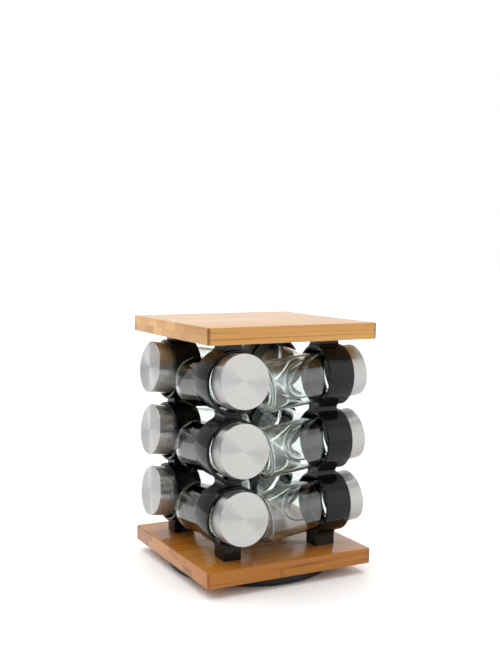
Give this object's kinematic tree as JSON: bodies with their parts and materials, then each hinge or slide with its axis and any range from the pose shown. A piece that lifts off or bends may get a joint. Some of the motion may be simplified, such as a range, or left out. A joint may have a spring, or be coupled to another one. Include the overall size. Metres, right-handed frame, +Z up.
{
  "type": "spice carousel",
  "caption": "Free-standing revolving spice rack: square bamboo boards, black ring columns in a pinwheel, and tilted glass jars with screw lids, on a ball-bearing turntable.",
  "frame": {"origin": "centre of the face that the object stands on, under the middle of the turntable", "axes": "+Z up along the turning axis, -Y the front side of the boards, +X to the right seen from the front"},
  "size_m": [0.1738, 0.1738, 0.239],
  "materials": {
    "bamboo_top": "satin lacquered bamboo, light honey",
    "bamboo_base": "satin lacquered bamboo, warm amber",
    "holder_plastic": "glossy black moulded plastic",
    "glass": "clear pressed glass with a faint green edge",
    "liner_plastic": "matt natural white plastic",
    "lid_steel": "spun-brushed stainless steel",
    "screw_steel": "zinc-plated steel",
    "turntable_plastic": "matt black plastic",
    "cage_plastic": "matt white plastic",
    "rubber": "matt black rubber"
  },
  "bodies": {
    "stand": {"turntable_base": "turntable_plastic", "anti_slip_ring": "rubber", "pivot_pin": "screw_steel"},
    "ball_cage": {"ball_cage": "cage_plastic"},
    "carousel": {"base_board": "bamboo_base", "top_board": "bamboo_top", "holder_front": "holder_plastic", "holder_right": "holder_plastic", "holder_back": "holder_plastic", "holder_left": "holder_plastic", "turntable_plate": "turntable_plastic", "turntable_screw_1": "screw_steel", "turntable_screw_2": "screw_steel", "turntable_screw_3": "screw_steel", "turntable_screw_4": "screw_steel", "foot_screw_front": "screw_steel", "foot_screw_right": "screw_steel", "foot_screw_back": "screw_steel", "foot_screw_left": "screw_steel", "top_screw_front": "screw_steel", "top_screw_right": "screw_steel", "top_screw_back": "screw_steel", "top_screw_left": "screw_steel"},
    "jar_front_bottom": {"jar_front_bottom": "glass"},
    "lid_front_bottom": {"lid_liner_front_bottom": "liner_plastic", "lid_shell_front_bottom": "lid_steel"},
    "jar_front_middle": {"jar_front_middle": "glass"},
    "lid_front_middle": {"lid_liner_front_middle": "liner_plastic", "lid_shell_front_middle": "lid_steel"},
    "jar_front_top": {"jar_front_top": "glass"},
    "lid_front_top": {"lid_liner_front_top": "liner_plastic", "lid_shell_front_top": "lid_steel"},
    "jar_right_bottom": {"jar_right_bottom": "glass"},
    "lid_right_bottom": {"lid_liner_right_bottom": "liner_plastic", "lid_shell_right_bottom": "lid_steel"},
    "jar_right_middle": {"jar_right_middle": "glass"},
    "lid_right_middle": {"lid_liner_right_middle": "liner_plastic", "lid_shell_right_middle": "lid_steel"},
    "jar_right_top": {"jar_right_top": "glass"},
    "lid_right_top": {"lid_liner_right_top": "liner_plastic", "lid_shell_right_top": "lid_steel"},
    "jar_back_bottom": {"jar_back_bottom": "glass"},
    "lid_back_bottom": {"lid_liner_back_bottom": "liner_plastic", "lid_shell_back_bottom": "lid_steel"},
    "jar_back_middle": {"jar_back_middle": "glass"},
    "lid_back_middle": {"lid_liner_back_middle": "liner_plastic", "lid_shell_back_middle": "lid_steel"},
    "jar_back_top": {"jar_back_top": "glass"},
    "lid_back_top": {"lid_liner_back_top": "liner_plastic", "lid_shell_back_top": "lid_steel"},
    "jar_left_bottom": {"jar_left_bottom": "glass"},
    "lid_left_bottom": {"lid_liner_left_bottom": "liner_plastic", "lid_shell_left_bottom": "lid_steel"},
    "jar_left_middle": {"jar_left_middle": "glass"},
    "lid_left_middle": {"lid_liner_left_middle": "liner_plastic", "lid_shell_left_middle": "lid_steel"},
    "jar_left_top": {"jar_left_top": "glass"},
    "lid_left_top": {"lid_liner_left_top": "liner_plastic", "lid_shell_left_top": "lid_steel"}
  },
  "joints": [
    {"name": "carousel_spin", "type": "hinge", "parent": "stand", "child": "carousel", "pos_m": [0, 0, 0.01], "axis": [0, 0, 1], "continuous": true},
    {"name": "ball_cage_roll", "type": "hinge", "parent": "stand", "child": "ball_cage", "pos_m": [0, 0, 0.0056], "axis": [0, 0, 1], "continuous": true},
    {"name": "jar_front_bottom_slide", "type": "slide", "parent": "carousel", "child": "jar_front_bottom", "axis": [0, -0.9925, 0.1219], "range_m": [0, 0.095]},
    {"name": "lid_front_bottom_lift", "type": "slide", "parent": "jar_front_bottom", "child": "lid_front_bottom", "axis": [0, -0.9925, 0.1219], "range_m": [0, 0.04]},
    {"name": "jar_front_middle_slide", "type": "slide", "parent": "carousel", "child": "jar_front_middle", "axis": [0, -0.9925, 0.1219], "range_m": [0, 0.095]},
    {"name": "lid_front_middle_lift", "type": "slide", "parent": "jar_front_middle", "child": "lid_front_middle", "axis": [0, -0.9925, 0.1219], "range_m": [0, 0.04]},
    {"name": "jar_front_top_slide", "type": "slide", "parent": "carousel", "child": "jar_front_top", "axis": [0, -0.9925, 0.1219], "range_m": [0, 0.095]},
    {"name": "lid_front_top_lift", "type": "slide", "parent": "jar_front_top", "child": "lid_front_top", "axis": [0, -0.9925, 0.1219], "range_m": [0, 0.04]},
    {"name": "jar_right_bottom_slide", "type": "slide", "parent": "carousel", "child": "jar_right_bottom", "axis": [0.9925, 0, 0.1219], "range_m": [0, 0.095]},
    {"name": "lid_right_bottom_lift", "type": "slide", "parent": "jar_right_bottom", "child": "lid_right_bottom", "axis": [0.9925, 0, 0.1219], "range_m": [0, 0.04]},
    {"name": "jar_right_middle_slide", "type": "slide", "parent": "carousel", "child": "jar_right_middle", "axis": [0.9925, 0, 0.1219], "range_m": [0, 0.095]},
    {"name": "lid_right_middle_lift", "type": "slide", "parent": "jar_right_middle", "child": "lid_right_middle", "axis": [0.9925, 0, 0.1219], "range_m": [0, 0.04]},
    {"name": "jar_right_top_slide", "type": "slide", "parent": "carousel", "child": "jar_right_top", "axis": [0.9925, 0, 0.1219], "range_m": [0, 0.095]},
    {"name": "lid_right_top_lift", "type": "slide", "parent": "jar_right_top", "child": "lid_right_top", "axis": [0.9925, 0, 0.1219], "range_m": [0, 0.04]},
    {"name": "jar_back_bottom_slide", "type": "slide", "parent": "carousel", "child": "jar_back_bottom", "axis": [0, 0.9925, 0.1219], "range_m": [0, 0.095]},
    {"name": "lid_back_bottom_lift", "type": "slide", "parent": "jar_back_bottom", "child": "lid_back_bottom", "axis": [0, 0.9925, 0.1219], "range_m": [0, 0.04]},
    {"name": "jar_back_middle_slide", "type": "slide", "parent": "carousel", "child": "jar_back_middle", "axis": [0, 0.9925, 0.1219], "range_m": [0, 0.095]},
    {"name": "lid_back_middle_lift", "type": "slide", "parent": "jar_back_middle", "child": "lid_back_middle", "axis": [0, 0.9925, 0.1219], "range_m": [0, 0.04]},
    {"name": "jar_back_top_slide", "type": "slide", "parent": "carousel", "child": "jar_back_top", "axis": [0, 0.9925, 0.1219], "range_m": [0, 0.095]},
    {"name": "lid_back_top_lift", "type": "slide", "parent": "jar_back_top", "child": "lid_back_top", "axis": [0, 0.9925, 0.1219], "range_m": [0, 0.04]},
    {"name": "jar_left_bottom_slide", "type": "slide", "parent": "carousel", "child": "jar_left_bottom", "axis": [-0.9925, 0, 0.1219], "range_m": [0, 0.095]},
    {"name": "lid_left_bottom_lift", "type": "slide", "parent": "jar_left_bottom", "child": "lid_left_bottom", "axis": [-0.9925, 0, 0.1219], "range_m": [0, 0.04]},
    {"name": "jar_left_middle_slide", "type": "slide", "parent": "carousel", "child": "jar_left_middle", "axis": [-0.9925, 0, 0.1219], "range_m": [0, 0.095]},
    {"name": "lid_left_middle_lift", "type": "slide", "parent": "jar_left_middle", "child": "lid_left_middle", "axis": [-0.9925, 0, 0.1219], "range_m": [0, 0.04]},
    {"name": "jar_left_top_slide", "type": "slide", "parent": "carousel", "child": "jar_left_top", "axis": [-0.9925, 0, 0.1219], "range_m": [0, 0.095]},
    {"name": "lid_left_top_lift", "type": "slide", "parent": "jar_left_top", "child": "lid_left_top", "axis": [-0.9925, 0, 0.1219], "range_m": [0, 0.04]}
  ],
  "couplings": [
    {"joint": "ball_cage_roll", "follows": "carousel_spin", "ratio": 0.5}
  ]
}
